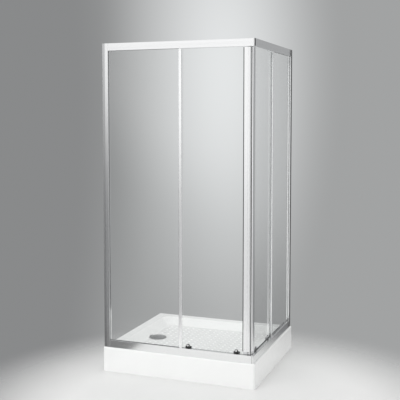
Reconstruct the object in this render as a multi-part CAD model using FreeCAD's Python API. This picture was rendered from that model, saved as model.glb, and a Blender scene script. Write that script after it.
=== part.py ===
import FreeCAD, Part
import math
import os

# A corner shower enclosure: a tray, two fixed panes and two sliding doors that meet at the near corner.
# X runs along the front from the left wall to the near corner, Y from the front to the rear wall, Z is up.
# The origin is the middle of the tray's footprint on the floor. All lengths are in millimetres.
# Each face of the screen is drawn in its own plan: s runs from the near corner to the wall along the
# face, u runs inward from the face of the rails, and z is the height above the floor.

Vector = FreeCAD.Vector

# Whole enclosure
TRAY_LENGTH = 1000.0
TRAY_WIDTH = 900.0
TRAY_HEIGHT = 155.0
SCREEN_HEIGHT = 1920.0
FRAME_INSET = 8.0

# Clearances and cuts
FIT = 0.2
SCREW_GAP = 0.1
ROLL_GAP = 0.3
BEARING_GAP = 0.05
SEAL_GAP = 0.3
OVERRUN = 5.0

# Tray
TRAY_SKIN = 5.0
NEAR_CORNER_RADIUS = 12.0
TRAY_EDGE_RADIUS = 8.0
RIM_WIDTH = 58.0
RIM_EDGE_RADIUS = 5.0
RIM_CORNER_RADIUS = 70.0
BASIN_DEPTH = 36.0
BASIN_SLOPE_RUN = 78.0
FLOOR_FALL = 6.0
FLOOR_CORNER_RADIUS = 60.0
FLOOR_EDGE_RADIUS = 20.0
PIPE_NOTCH_WIDTH = 120.0
PIPE_NOTCH_HEIGHT = 110.0

# Board and feet under the tray
BOARD_THICKNESS = 18.0
BOARD_MARGIN = 30.0
FOOT_INSET = 75.0
FOOT_PAD_RADIUS = 25.0
FOOT_PAD_TOP_RADIUS = 14.0
FOOT_PAD_HEIGHT = 14.0
FOOT_PAD_SOLE = 8.0
FOOT_STUD_RADIUS = 5.0
FOOT_STUD_COVER = 4.0
FOOT_NUT_HEIGHT = 8.0
FOOT_NUT_FLATS = 17.0

# Drain
DRAIN_FROM_WALL = 178.0
DRAIN_RECESS_DEPTH = 3.0
DRAIN_RECESS_RADIUS = 59.0
DRAIN_BOSS_RADIUS = 64.0
DRAIN_FLANGE_RADIUS = 57.0
DRAIN_FLANGE_THICKNESS = 2.5
DRAIN_NECK_RADIUS = 42.0
DRAIN_NECK_WALL = 3.5
DRAIN_NECK_LENGTH = 30.0
COVER_RADIUS = 56.5
COVER_EDGE = 2.0
COVER_DOME = 4.0
COVER_DOME_MID_SHARE = 0.5
COVER_LIFT = 2.0
COVER_FOOT_WIDTH = 8.0
COVER_FOOT_COUNT = 4
DRAIN_SEAL_THICKNESS = 3.0
TRAP_RADIUS = 58.0
TRAP_WALL = 3.0
TRAP_DEPTH = 62.0
OUTLET_RADIUS = 20.0
OUTLET_WALL = 2.5
OUTLET_LENGTH = 50.0
OUTLET_DROP = 36.0
OUTLET_COLLAR_RADIUS = 24.0
OUTLET_COLLAR_LENGTH = 6.0

# Glass and gaskets
GLASS = 5.0
GASKET = 1.5
GASKET_LIP = 0.8
GASKET_HOLD = 14.0

# Rails: the upper one is the lower one upside down, with a short rib, so that it hides the upper rollers
RAIL_HEIGHT = 46.0
RAIL_DEPTH = 44.0
RAIL_WALL = 2.2
RAIL_EDGE_RADIUS = 0.9
POCKET_U = 7.0
POCKET_DEPTH = 20.0
PORT_SIZE = 8.0
RIB_U = 34.0
RIB_THICKNESS = 2.4
RIB_ROUND_SHARE = 0.45
LOWER_RIB_HEIGHT = 43.0
UPPER_RIB_HEIGHT = 6.0
LIP_HEIGHT = 14.0
RAIL_COVER_WALL = 1.5
RAIL_COVER_LEG = 9.0

# Corner connectors
CORNER_FACE = 12.0
CORNER_RADIUS = 5.0
TONGUE_LENGTH = 55.0
CORNER_SCREW_S = 52.0
CORNER_SCREW_HEIGHT = 17.0

# Wall channels and jambs
WALL_REACH = 39.0
CHANNEL_REACH = 16.0
JAMB_DEPTH = 26.0
CHANNEL_STEP = 1.5
CHANNEL_WALL = 2.0
JAMB_TONGUE = 10.0
JAMB_POCKET_DEPTH = 10.0
JAMB_EDGE_RADIUS = 1.0
WALL_HOLE_RADIUS = 3.0
WALL_HOLE_END = 90.0
WALL_HOLE_COUNT = 4
JAMB_SCREW_SHARES = (0.12, 0.5, 0.88)

# Screws
SCREW_RADIUS = 1.9
SCREW_HEAD_RADIUS = 3.5
SCREW_HEAD_HEIGHT = 2.2
FRAME_SCREW_LENGTH = 8.0
RAIL_SCREW_LENGTH = 30.0

# Free edge profiles of the fixed panes, and how far from the middle of their face they stand, towards the
# near corner
FRONT_EDGE_LEAD = 34.0
SIDE_EDGE_LEAD = 21.0
EDGE_PROFILE_WIDTH = 18.0
EDGE_PROFILE_WALL = 1.6
EDGE_PROFILE_NOSE = 4.0
EDGE_PROFILE_RADIUS = 1.4
EDGE_FIT = 0.1

# Doors
DOOR_GLASS_U = 21.5
DOOR_END_GAP = 2.0
DOOR_GLASS_OVERLAP = 6.0
DOOR_GLASS_TOP_GAP = 12.0
STILE_S = 30.0
STILE_WIDTH = 41.0
STILE_U = 17.0
STILE_DEPTH = 20.5
STILE_WALL = 1.8
STILE_RADIUS = 2.0
STILE_NOSE = 10.0
STILE_MITRE = 6.0
STILE_CAP_HEIGHT = 15.0
STILE_CAP_PEG = 10.0
GRIP_EDGE = 4.5
GRIP_WIDTH = 12.5
GRIP_DEPTH = 2.2
GRIP_SLOPE = 1.6
SEAL_INSET = 1.5
TRAIL_LAG = 7.0
TRAIL_WIDTH = 18.0
WIPER_WIDTH = 10.0
WIPER_BASE = 1.5
WIPER_FIN = 1.4

# Rollers
FRONT_LEAD_ROLLER = 115.0
SIDE_LEAD_ROLLER = 125.0
TRAIL_ROLLER_OFFSET = 42.0
WHEEL_SPACING = 25.0
WHEEL_RADIUS = 7.5
WHEEL_WIDTH = 8.0
ROLL_RADIUS = 5.5
GROOVE_FLARE = 1.2
AXLE_RADIUS = 1.6
AXLE_HEAD_RADIUS = 2.9
AXLE_HEAD = 1.4
BRACKET_THICKNESS = 3.0
BRACKET_FOOT = 4.5
BRACKET_TOP = 7.0
BRACKET_RADIUS = 4.2
BOLT_RISE = 13.0
BOLT_RADIUS = 3.5
BOLT_HOLE_GAP = 0.5
CAP_RADIUS = 6.5
CAP_HEIGHT = 3.6
CAP_EDGE_RADIUS = 1.4
NUT_RADIUS = 6.0
NUT_HEIGHT = 4.0

# Door stops
STOP_GAP = 11.0
STOP_LENGTH = 12.0
STOP_WIDTH = 8.0
STOP_HEIGHT = 16.0
STOP_PLAY = 1.0

# Places that several pieces share
TOP = TRAY_HEIGHT + SCREEN_HEIGHT
CORNER_X = TRAY_LENGTH / 2 - FRAME_INSET
CORNER_Y = FRAME_INSET - TRAY_WIDTH / 2
POCKET_IN = POCKET_U + GLASS + 2 * GASKET
RAIL_INNER_WALL = POCKET_IN + RAIL_WALL
FIXED_GLASS_U = POCKET_U + GASKET
FIXED_GLASS_IN = FIXED_GLASS_U + GLASS
DOOR_GLASS_IN = DOOR_GLASS_U + GLASS
PORT_U = POCKET_IN - PORT_SIZE / 2
PORT_HEIGHT = RAIL_WALL + PORT_SIZE / 2
STILE_END = STILE_S + STILE_WIDTH
STILE_IN = STILE_U + STILE_DEPTH
DOOR_BOTTOM = TRAY_HEIGHT + RAIL_HEIGHT + DOOR_END_GAP
DOOR_TOP = TOP - RAIL_HEIGHT - DOOR_END_GAP
STILE_BOTTOM = DOOR_BOTTOM + STILE_CAP_HEIGHT
GLASS_BOTTOM = TRAY_HEIGHT + RAIL_HEIGHT - DOOR_GLASS_OVERLAP
GLASS_TOP = TOP - DOOR_GLASS_TOP_GAP
AXLE_BOTTOM = TRAY_HEIGHT + LOWER_RIB_HEIGHT + ROLL_GAP + ROLL_RADIUS
AXLE_TOP = TOP - UPPER_RIB_HEIGHT - ROLL_GAP - ROLL_RADIUS
BASIN_UNDERSIDE = TRAY_HEIGHT - BASIN_DEPTH - FLOOR_FALL - TRAY_SKIN
DRAIN_X = DRAIN_FROM_WALL - TRAY_LENGTH / 2
UP = Vector(0, 0, 1)
ALONG = Vector(1, 0, 0)
INWARD = Vector(0, 1, 0)


# Outlines and solids

def rounded_wire(points):
    """A closed wire in the XY plane. Each point is x, y and the radius that rounds its corner."""
    ends = []
    edges = []
    for i, (x, y, radius) in enumerate(points):
        corner = Vector(x, y, 0)
        before = Vector(*points[i - 1][:2], 0) - corner
        after = Vector(*points[(i + 1) % len(points)][:2], 0) - corner
        before.normalize()
        after.normalize()
        if radius == 0:
            ends.append((corner, corner))
            continue
        half = before.getAngle(after) / 2
        back = radius / math.tan(half)
        middle = (before + after).normalize() * (radius / math.sin(half) - radius)
        first, last = corner + before * back, corner + after * back
        ends.append((first, last))
        edges.append(Part.Arc(first, corner + middle, last).toShape())
    for i, (first, last) in enumerate(ends):
        edges.append(Part.makeLine(ends[i - 1][1], first))
    return Part.Wire(Part.__sortEdges__(edges))


def section(points, *holes):
    """A flat face with the given outline and holes, in the XY plane."""
    wires = [rounded_wire(outline) for outline in (points,) + holes]
    face = Part.Face(wires[0])
    for wire in wires[1:]:
        face = face.cut(Part.Face(wire))
    return face.Faces[0]


def rectangle(x0, y0, x1, y1, radius=0):
    return [(x0, y0, radius), (x1, y0, radius), (x1, y1, radius), (x0, y1, radius)]


def upright(face, bottom, top):
    """A section drawn in s and u, extruded upward."""
    shape = face.copy()
    shape.translate(UP * bottom)
    return shape.extrude(UP * (top - bottom))


def along_run(face, start, end):
    """A section drawn in u and z, extruded along s."""
    shape = face.copy()
    shape.Placement = FreeCAD.Placement(ALONG * start, FreeCAD.Rotation(Vector(1, 1, 1), 120))
    return shape.extrude(ALONG * (end - start))


def through_glass(face, start, end):
    """A section drawn in s and z, extruded inward along u."""
    shape = face.copy()
    shape.Placement = FreeCAD.Placement(INWARD * start, FreeCAD.Rotation(ALONG, 90))
    return shape.extrude(INWARD * (end - start))


def block(s0, u0, z0, s1, u1, z1):
    return Part.makeBox(s1 - s0, u1 - u0, z1 - z0, Vector(s0, u0, z0))


def rod(radius, start, direction, length):
    return Part.makeCylinder(radius, length, start, direction)


def single(shape):
    """The one solid that a boolean operation left, with its split faces joined."""
    return shape.removeSplitter().Solids[0]


def turned(points, centre):
    """A solid of revolution about the vertical through centre. Points are radius and height."""
    outline = [Vector(r, 0, z) for r, z in points]
    face = Part.Face(Part.makePolygon(outline + outline[:1]))
    solid = face.revolve(Vector(0, 0, 0), UP, 360)
    solid.translate(centre)
    return solid


def screw(head_seat, direction, length):
    """A pan-head screw whose head stands on head_seat, with its shank along direction."""
    shank = rod(SCREW_RADIUS, head_seat, direction, length)
    head = rod(SCREW_HEAD_RADIUS, head_seat, -direction, SCREW_HEAD_HEIGHT)
    return single(shank.fuse(head))


def screw_hole(start, direction, length):
    """Room for a screw's shank, from one overrun before start."""
    return rod(SCREW_RADIUS + SCREW_GAP, start - direction * OVERRUN, direction, length + 2 * OVERRUN)


def flipped(shape):
    """The same piece of the lower rail, upside down at the upper rail."""
    return shape.mirror(UP * (TRAY_HEIGHT + SCREEN_HEIGHT / 2), UP)


def hung(shape):
    """The same piece of a lower roller, upside down on the short rib of the upper rail."""
    return shape.mirror(UP * ((AXLE_BOTTOM + AXLE_TOP) / 2), UP)


def save(name, *shapes):
    solids = [solid for shape in shapes for solid in shape.Solids]
    whole = solids[0] if len(solids) == 1 else Part.makeCompound(solids)
    whole.exportStep("parts/" + name + ".step")


# The two faces of the screen

def on_front(shape):
    placed = shape.mirror(Vector(0, 0, 0), ALONG)
    placed.translate(Vector(CORNER_X, CORNER_Y, 0))
    return placed


def on_side(shape):
    placed = shape.copy()
    placed.rotate(Vector(0, 0, 0), UP, 90)
    placed.translate(Vector(CORNER_X, CORNER_Y, 0))
    return placed


class Run:
    """One face of the screen: its length, where its fixed pane ends and where its rollers hang."""

    def __init__(self, name, wall, place, length, edge_lead, lead_roller):
        self.name = name
        self.wall = wall
        self.place = place
        self.length = length
        self.jamb_s = length - WALL_REACH
        self.channel_s = length - CHANNEL_REACH
        self.fixed_edge = length / 2 - edge_lead
        self.trail_s = self.fixed_edge + TRAIL_LAG
        self.rollers = (lead_roller, self.trail_s - TRAIL_ROLLER_OFFSET)
        self.travel = self.fixed_edge - STOP_GAP - STILE_END

    def save(self, name, *shapes):
        save(name, *[self.place(shape) for shape in shapes])


RUNS = (
    Run("front", "left", on_front, TRAY_LENGTH - FRAME_INSET, FRONT_EDGE_LEAD, FRONT_LEAD_ROLLER),
    Run("side", "rear", on_side, TRAY_WIDTH - FRAME_INSET, SIDE_EDGE_LEAD, SIDE_LEAD_ROLLER),
)


# Tray, board, feet and drain

def basin_wire(inset, radius, height):
    x = TRAY_LENGTH / 2 - inset
    y = TRAY_WIDTH / 2 - inset
    wire = rounded_wire(rectangle(-x, -y, x, y, radius))
    wire.translate(UP * height)
    return wire


def basin(grow, floor_z, tilt):
    """The hollow of the basin, or with grow its outer skin. Its floor may tilt down to the drain side."""
    floor_inset = RIM_WIDTH + BASIN_SLOPE_RUN - grow
    rim = basin_wire(RIM_WIDTH - grow, RIM_CORNER_RADIUS + grow, TRAY_HEIGHT)
    floor = basin_wire(floor_inset, FLOOR_CORNER_RADIUS + grow, floor_z)
    if tilt:
        span = TRAY_LENGTH - 2 * floor_inset
        slope = math.degrees(math.atan2(FLOOR_FALL, span))
        floor.rotate(Vector(span / 2, 0, floor_z), INWARD, -slope)
    return Part.makeLoft([rim, floor], True, True)


def floor_height(x):
    """Height of the basin floor, which falls from the near corner's end to the drain's."""
    half = TRAY_LENGTH / 2 - RIM_WIDTH - BASIN_SLOPE_RUN
    return TRAY_HEIGHT - BASIN_DEPTH - FLOOR_FALL * (half - x) / (2 * half)


DRAIN_SEAT = floor_height(DRAIN_X) - DRAIN_RECESS_DEPTH
DRAIN_UNDER = min(BASIN_UNDERSIDE, DRAIN_SEAT - TRAY_SKIN)
DRAIN = Vector(DRAIN_X, 0, 0)


def lowest_edges(shape):
    """Edges of the lowest face of a solid."""
    return min(shape.Faces, key=lambda face: face.CenterOfMass.z).Edges


def make_tray():
    x = TRAY_LENGTH / 2
    y = TRAY_WIDTH / 2
    plan = rectangle(-x, -y, x, y)
    plan[1] = (x, -y, NEAR_CORNER_RADIUS)
    body = upright(section(plan), 0, TRAY_HEIGHT)
    shown = [edge for edge in body.Edges if is_shown_rim(edge)]
    body = body.makeFillet(TRAY_EDGE_RADIUS, shown)
    hollow = basin(0, TRAY_HEIGHT - BASIN_DEPTH, True)
    hollow = hollow.makeFillet(FLOOR_EDGE_RADIUS, lowest_edges(hollow))
    inner = upright(section(rectangle(TRAY_SKIN - x, TRAY_SKIN - y, x - TRAY_SKIN, y - TRAY_SKIN)),
                    -OVERRUN, TRAY_HEIGHT - TRAY_SKIN)
    skin = basin(TRAY_SKIN, BASIN_UNDERSIDE, False)
    boss = rod(DRAIN_BOSS_RADIUS, DRAIN + UP * DRAIN_UNDER, UP, BASIN_DEPTH)
    tray = body.cut(inner.cut(skin.fuse(boss)))
    tray = tray.cut(hollow)
    recess = rod(DRAIN_RECESS_RADIUS, DRAIN + UP * DRAIN_SEAT, UP, BASIN_DEPTH)
    hole = rod(DRAIN_NECK_RADIUS + FIT, DRAIN, UP, TRAY_HEIGHT)
    # the waste pipe leaves through a notch in the side that stands at the left wall
    notch = block(-x - OVERRUN, -PIPE_NOTCH_WIDTH / 2, -OVERRUN,
                  TRAY_SKIN + OVERRUN - x, PIPE_NOTCH_WIDTH / 2, PIPE_NOTCH_HEIGHT)
    tray = single(tray.cut([recess, hole, notch]))
    rim = [edge for edge in tray.Edges if is_basin_rim(edge)]
    return tray.makeFillet(RIM_EDGE_RADIUS, rim)


def is_shown_rim(edge):
    """Top edges of the front, the side and the near corner, which no wall covers."""
    box = edge.BoundBox
    at_top = box.ZMin > TRAY_HEIGHT - FIT
    return at_top and (box.YMax < NEAR_CORNER_RADIUS - TRAY_WIDTH / 2 + FIT
                       or box.XMin > TRAY_LENGTH / 2 - NEAR_CORNER_RADIUS - FIT)


def is_basin_rim(edge):
    box = edge.BoundBox
    inside = TRAY_LENGTH / 2 - RIM_WIDTH + FIT
    return box.ZMin > TRAY_HEIGHT - FIT and max(-box.XMin, box.XMax) < inside


def foot_places():
    x = TRAY_LENGTH / 2 - RIM_WIDTH - BASIN_SLOPE_RUN - FOOT_INSET
    y = TRAY_WIDTH / 2 - RIM_WIDTH - BASIN_SLOPE_RUN - FOOT_INSET
    return [Vector(sx * x, sy * y, 0) for sx in (-1, 1) for sy in (-1, 1)] + [Vector(0, 0, 0)]


BOARD_BOTTOM = BASIN_UNDERSIDE - BOARD_THICKNESS


def make_board():
    inset = RIM_WIDTH + BASIN_SLOPE_RUN + BOARD_MARGIN
    x = TRAY_LENGTH / 2 - inset
    y = TRAY_WIDTH / 2 - inset
    board = upright(section(rectangle(-x, -y, x, y)), BOARD_BOTTOM, BASIN_UNDERSIDE)
    # the drain's side of the board has a notch that is wide enough for the trap
    clear = DRAIN_BOSS_RADIUS + FIT
    notch = block(-x - OVERRUN, -clear, BOARD_BOTTOM - OVERRUN, DRAIN_X, clear, BASIN_UNDERSIDE + OVERRUN)
    round_end = rod(clear, DRAIN + UP * (BOARD_BOTTOM - OVERRUN), UP, BOARD_THICKNESS + 2 * OVERRUN)
    board = board.cut(notch.fuse(round_end))
    for place in foot_places():
        board = board.cut(rod(FOOT_STUD_RADIUS + FIT, place + UP * (BOARD_BOTTOM - OVERRUN), UP,
                              BOARD_THICKNESS + OVERRUN - FOOT_STUD_COVER))
    return single(board)


def make_foot_pad(place):
    pad = turned([(0, 0), (FOOT_PAD_RADIUS, 0), (FOOT_PAD_RADIUS, FOOT_PAD_SOLE),
                  (FOOT_PAD_TOP_RADIUS, FOOT_PAD_HEIGHT), (0, FOOT_PAD_HEIGHT)], place)
    socket = rod(FOOT_STUD_RADIUS + FIT, place + UP * FOOT_PAD_SOLE, UP, FOOT_PAD_HEIGHT)
    return single(pad.cut(socket))


def make_foot_stud(place):
    top = BASIN_UNDERSIDE - FOOT_STUD_COVER
    return rod(FOOT_STUD_RADIUS, place + UP * FOOT_PAD_SOLE, UP, top - FOOT_PAD_SOLE)


def make_foot_nut(place):
    reach = FOOT_NUT_FLATS / math.sqrt(3)
    corners = [(reach * math.cos(math.radians(a)), reach * math.sin(math.radians(a)), 0)
               for a in range(0, 360, 60)]
    nut = upright(section(corners), BOARD_BOTTOM - FOOT_NUT_HEIGHT, BOARD_BOTTOM)
    nut = nut.cut(rod(FOOT_STUD_RADIUS + FIT, Vector(0, 0, 0), UP, BOARD_BOTTOM + OVERRUN))
    nut.translate(place)
    return single(nut)


COVER_Z = DRAIN_SEAT + DRAIN_FLANGE_THICKNESS + COVER_LIFT


def make_drain_cover():
    sphere = (COVER_RADIUS ** 2 + COVER_DOME ** 2) / (2 * COVER_DOME)
    middle = COVER_RADIUS * COVER_DOME_MID_SHARE
    crown = COVER_Z + COVER_EDGE + COVER_DOME
    rise = crown - sphere + math.sqrt(sphere ** 2 - middle ** 2)
    edge = Vector(COVER_RADIUS, 0, COVER_Z + COVER_EDGE)
    dome = Part.Arc(edge, Vector(middle, 0, rise), Vector(0, 0, crown)).toShape()
    base = Part.makePolygon([Vector(0, 0, crown), Vector(0, 0, COVER_Z),
                             Vector(COVER_RADIUS, 0, COVER_Z), edge])
    cover = Part.Face(Part.Wire([dome] + base.Edges)).revolve(Vector(0, 0, 0), UP, 360)
    ring = (DRAIN_NECK_RADIUS + DRAIN_FLANGE_RADIUS) / 2
    half = COVER_FOOT_WIDTH / 2
    foot = block(ring - half, -half, COVER_Z - COVER_LIFT, ring + half, half, COVER_Z + COVER_EDGE)
    for i in range(COVER_FOOT_COUNT):
        turned_foot = foot.copy()
        turned_foot.rotate(Vector(0, 0, 0), UP, 360 * i / COVER_FOOT_COUNT)
        cover = cover.fuse(turned_foot)
    cover.translate(DRAIN)
    return single(cover)


def make_drain_flange():
    top = DRAIN_SEAT + DRAIN_FLANGE_THICKNESS
    bore = DRAIN_NECK_RADIUS - DRAIN_NECK_WALL
    bottom = top - DRAIN_NECK_LENGTH
    return turned([(bore, bottom), (DRAIN_NECK_RADIUS, bottom), (DRAIN_NECK_RADIUS, DRAIN_SEAT),
                   (DRAIN_FLANGE_RADIUS, DRAIN_SEAT), (DRAIN_FLANGE_RADIUS, top), (bore, top)], DRAIN)


def make_drain_seal():
    top = DRAIN_UNDER
    bottom = top - DRAIN_SEAL_THICKNESS
    bore = DRAIN_NECK_RADIUS + FIT
    return turned([(bore, bottom), (TRAP_RADIUS, bottom), (TRAP_RADIUS, top), (bore, top)], DRAIN)


def make_drain_trap():
    rim = DRAIN_UNDER - DRAIN_SEAL_THICKNESS
    foot = rim - TRAP_DEPTH
    bore = DRAIN_NECK_RADIUS + FIT
    inside = TRAP_RADIUS - TRAP_WALL
    cup = turned([(0, foot), (TRAP_RADIUS, foot), (TRAP_RADIUS, rim), (bore, rim), (bore, rim - TRAP_WALL),
                  (inside, rim - TRAP_WALL), (inside, foot + TRAP_WALL), (0, foot + TRAP_WALL)], DRAIN)
    mouth = Vector(DRAIN_X - TRAP_RADIUS + TRAP_WALL, 0, rim - OUTLET_DROP)
    shoulder = TRAP_WALL + OUTLET_COLLAR_LENGTH
    collar = rod(OUTLET_COLLAR_RADIUS, mouth, -ALONG, shoulder)
    spigot = rod(OUTLET_RADIUS, mouth, -ALONG, shoulder + OUTLET_LENGTH)
    core = rod(inside, DRAIN + UP * (foot + TRAP_WALL), UP, TRAP_DEPTH - 2 * TRAP_WALL)
    passage = rod(OUTLET_RADIUS - OUTLET_WALL, mouth + ALONG * TRAP_WALL, -ALONG,
                  shoulder + OUTLET_LENGTH + OVERRUN)
    return single(cup.fuse(collar.fuse(spigot).cut(core)).cut(passage))


# Rails and corner connectors

def rail_section(rib_height):
    """The lower rail, from the tray up: pane pocket outside, running rib and drip lip inside."""
    rib = RIB_THICKNESS / 2
    tip = RIB_THICKNESS * RIB_ROUND_SHARE
    floor = RAIL_HEIGHT - POCKET_DEPTH
    port = RAIL_WALL + PORT_SIZE
    outline = [
        (0, 0, RAIL_EDGE_RADIUS), (RAIL_DEPTH, 0, RAIL_EDGE_RADIUS), (RAIL_DEPTH, LIP_HEIGHT, 0),
        (RAIL_DEPTH - RAIL_WALL, LIP_HEIGHT, 0), (RAIL_DEPTH - RAIL_WALL, RAIL_WALL, 0),
        (RIB_U + rib, RAIL_WALL, 0), (RIB_U + rib, rib_height, tip), (RIB_U - rib, rib_height, tip),
        (RIB_U - rib, RAIL_WALL, 0), (RAIL_INNER_WALL, RAIL_WALL, 0),
        (RAIL_INNER_WALL, RAIL_HEIGHT, RAIL_EDGE_RADIUS), (POCKET_IN, RAIL_HEIGHT, 0),
        (POCKET_IN, floor, 0), (POCKET_U, floor, 0), (POCKET_U, RAIL_HEIGHT, 0),
        (0, RAIL_HEIGHT, RAIL_EDGE_RADIUS),
    ]
    # the chamber lies below the pocket and rises outside it, around the port of the rail's screw
    chamber = [
        (RAIL_WALL, RAIL_WALL, 0), (POCKET_IN - PORT_SIZE, RAIL_WALL, 0), (POCKET_IN - PORT_SIZE, port, 0),
        (POCKET_IN, port, 0), (POCKET_IN, floor - RAIL_WALL, 0), (POCKET_U - RAIL_WALL, floor - RAIL_WALL, 0),
        (POCKET_U - RAIL_WALL, RAIL_HEIGHT - RAIL_WALL, 0), (RAIL_WALL, RAIL_HEIGHT - RAIL_WALL, 0),
    ]
    return section(outline, chamber)


def make_rail(run, rib_height):
    """The rail of a face as it lies below, mitred at the near corner, with its screw holes."""
    rail = along_run(rail_section(rib_height), 0, run.jamb_s)
    reach = RAIL_DEPTH + OVERRUN
    mitre = upright(section([(-OVERRUN, -OVERRUN, 0), (CORNER_FACE - OVERRUN, -OVERRUN, 0),
                             (CORNER_FACE + reach, reach, 0), (-OVERRUN, reach, 0)]),
                    -OVERRUN, RAIL_HEIGHT + OVERRUN)
    port = rod(SCREW_RADIUS + SCREW_GAP, Vector(0, PORT_U, PORT_HEIGHT), ALONG, run.length)
    corner = Vector(CORNER_SCREW_S, POCKET_IN, CORNER_SCREW_HEIGHT)
    hole = rod(SCREW_RADIUS + SCREW_GAP, corner - INWARD * FIT, INWARD, RAIL_WALL + 2 * FIT)
    rail = rail.cut(mitre).cut(port).cut(hole)
    rail.translate(UP * TRAY_HEIGHT)
    return single(rail)


def make_rail_cover(run):
    """A strip that closes the lower rail's pocket from the near corner to the fixed pane."""
    outer, inner = POCKET_U + FIT, POCKET_IN - FIT
    foot, under = RAIL_HEIGHT - RAIL_COVER_LEG, RAIL_HEIGHT - RAIL_COVER_WALL
    outline = [(outer, foot, 0), (outer + RAIL_COVER_WALL, foot, 0), (outer + RAIL_COVER_WALL, under, 0),
               (inner - RAIL_COVER_WALL, under, 0), (inner - RAIL_COVER_WALL, foot, 0), (inner, foot, 0),
               (inner, RAIL_HEIGHT, 0), (outer, RAIL_HEIGHT, 0)]
    end = run.fixed_edge + EDGE_PROFILE_NOSE - FIT
    cover = along_run(section(outline), CORNER_FACE + POCKET_IN + FIT, end)
    cover.translate(UP * TRAY_HEIGHT)
    return cover


def make_tongue():
    """One arm of a corner connector, in the chamber of the lower rail."""
    floor = RAIL_HEIGHT - POCKET_DEPTH - RAIL_WALL
    arm = block(CORNER_FACE, RAIL_WALL + FIT, RAIL_WALL + PORT_SIZE + FIT,
                CORNER_FACE + TONGUE_LENGTH, POCKET_IN - FIT, floor - FIT)
    arm = arm.cut(screw_hole(Vector(CORNER_SCREW_S, RAIL_WALL, CORNER_SCREW_HEIGHT), INWARD, POCKET_IN))
    arm.translate(UP * TRAY_HEIGHT)
    return arm


def make_corner_connector():
    """The lower corner piece, in place, with one arm for each rail."""
    far = CORNER_FACE + RAIL_DEPTH
    plan = [(0, 0, CORNER_RADIUS), (CORNER_FACE, 0, 0), (far, RAIL_DEPTH, 0), (RAIL_DEPTH, far, 0),
            (0, CORNER_FACE, 0)]
    body = on_front(upright(section(plan), TRAY_HEIGHT, TRAY_HEIGHT + RAIL_HEIGHT))
    return single(body.fuse([run.place(make_tongue()) for run in RUNS]))


def make_corner_screw():
    seat = Vector(CORNER_SCREW_S, RAIL_INNER_WALL, TRAY_HEIGHT + CORNER_SCREW_HEIGHT)
    return screw(seat, -INWARD, FRAME_SCREW_LENGTH)


# Wall channels, jambs and their screws

CHANNEL_OUT = CHANNEL_STEP + CHANNEL_WALL
CHANNEL_IN = JAMB_DEPTH - CHANNEL_STEP - CHANNEL_WALL
JAMB_TONGUE_OUT = CHANNEL_OUT + FIT
JAMB_TONGUE_IN = CHANNEL_IN - FIT


def jamb_screw_heights():
    return [TRAY_HEIGHT + share * SCREEN_HEIGHT for share in JAMB_SCREW_SHARES]


def jamb_screw_seat(run, height):
    return Vector(run.channel_s + JAMB_TONGUE / 2, JAMB_DEPTH - CHANNEL_STEP, height)


def make_wall_channel(run):
    outer, inner = CHANNEL_STEP, JAMB_DEPTH - CHANNEL_STEP
    base = run.length - CHANNEL_WALL
    outline = [(run.channel_s, outer, 0), (run.length, outer, 0), (run.length, inner, 0),
               (run.channel_s, inner, 0), (run.channel_s, CHANNEL_IN, 0), (base, CHANNEL_IN, 0),
               (base, CHANNEL_OUT, 0), (run.channel_s, CHANNEL_OUT, 0)]
    channel = upright(section(outline), TRAY_HEIGHT, TOP)
    pitch = (SCREEN_HEIGHT - 2 * WALL_HOLE_END) / (WALL_HOLE_COUNT - 1)
    for i in range(WALL_HOLE_COUNT):
        start = Vector(base - OVERRUN, JAMB_DEPTH / 2, TRAY_HEIGHT + WALL_HOLE_END + pitch * i)
        channel = channel.cut(rod(WALL_HOLE_RADIUS, start, ALONG, CHANNEL_WALL + 2 * OVERRUN))
    for height in jamb_screw_heights():
        seat = jamb_screw_seat(run, height)
        channel = channel.cut(screw_hole(seat, -INWARD, CHANNEL_WALL))
    return single(channel)


def make_jamb(run):
    near, face, back = run.jamb_s, run.channel_s, run.channel_s + JAMB_TONGUE
    pocket = near + JAMB_POCKET_DEPTH
    outline = [(near, 0, JAMB_EDGE_RADIUS), (face, 0, JAMB_EDGE_RADIUS), (face, JAMB_TONGUE_OUT, 0),
               (back, JAMB_TONGUE_OUT, 0), (back, JAMB_TONGUE_IN, 0), (face, JAMB_TONGUE_IN, 0),
               (face, JAMB_DEPTH, JAMB_EDGE_RADIUS), (near, JAMB_DEPTH, JAMB_EDGE_RADIUS),
               (near, POCKET_IN, 0), (pocket, POCKET_IN, 0), (pocket, POCKET_U, 0), (near, POCKET_U, 0)]
    chamber = rectangle(pocket + RAIL_WALL, JAMB_TONGUE_OUT + RAIL_WALL,
                        back - RAIL_WALL, JAMB_TONGUE_IN - RAIL_WALL)
    jamb = upright(section(outline, chamber), TRAY_HEIGHT, TOP)
    for height in jamb_screw_heights():
        jamb = jamb.cut(screw_hole(jamb_screw_seat(run, height), -INWARD, FRAME_SCREW_LENGTH - OVERRUN))
    for height in (TRAY_HEIGHT + PORT_HEIGHT, TOP - PORT_HEIGHT):
        # a hole for the rail's screw, and one in the back wall that lets its head in
        start = Vector(pocket, PORT_U, height)
        jamb = jamb.cut(rod(SCREW_RADIUS + SCREW_GAP, start - ALONG * FIT, ALONG, RAIL_WALL + 2 * FIT))
        access = Vector(back - RAIL_WALL - FIT, PORT_U, height)
        jamb = jamb.cut(rod(SCREW_HEAD_RADIUS + FIT, access, ALONG, RAIL_WALL + OVERRUN))
    return single(jamb)


def make_rail_screw(run):
    seat = Vector(run.jamb_s + JAMB_POCKET_DEPTH + RAIL_WALL, PORT_U, TRAY_HEIGHT + PORT_HEIGHT)
    return screw(seat, -ALONG, RAIL_SCREW_LENGTH)


# Fixed panes

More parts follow.
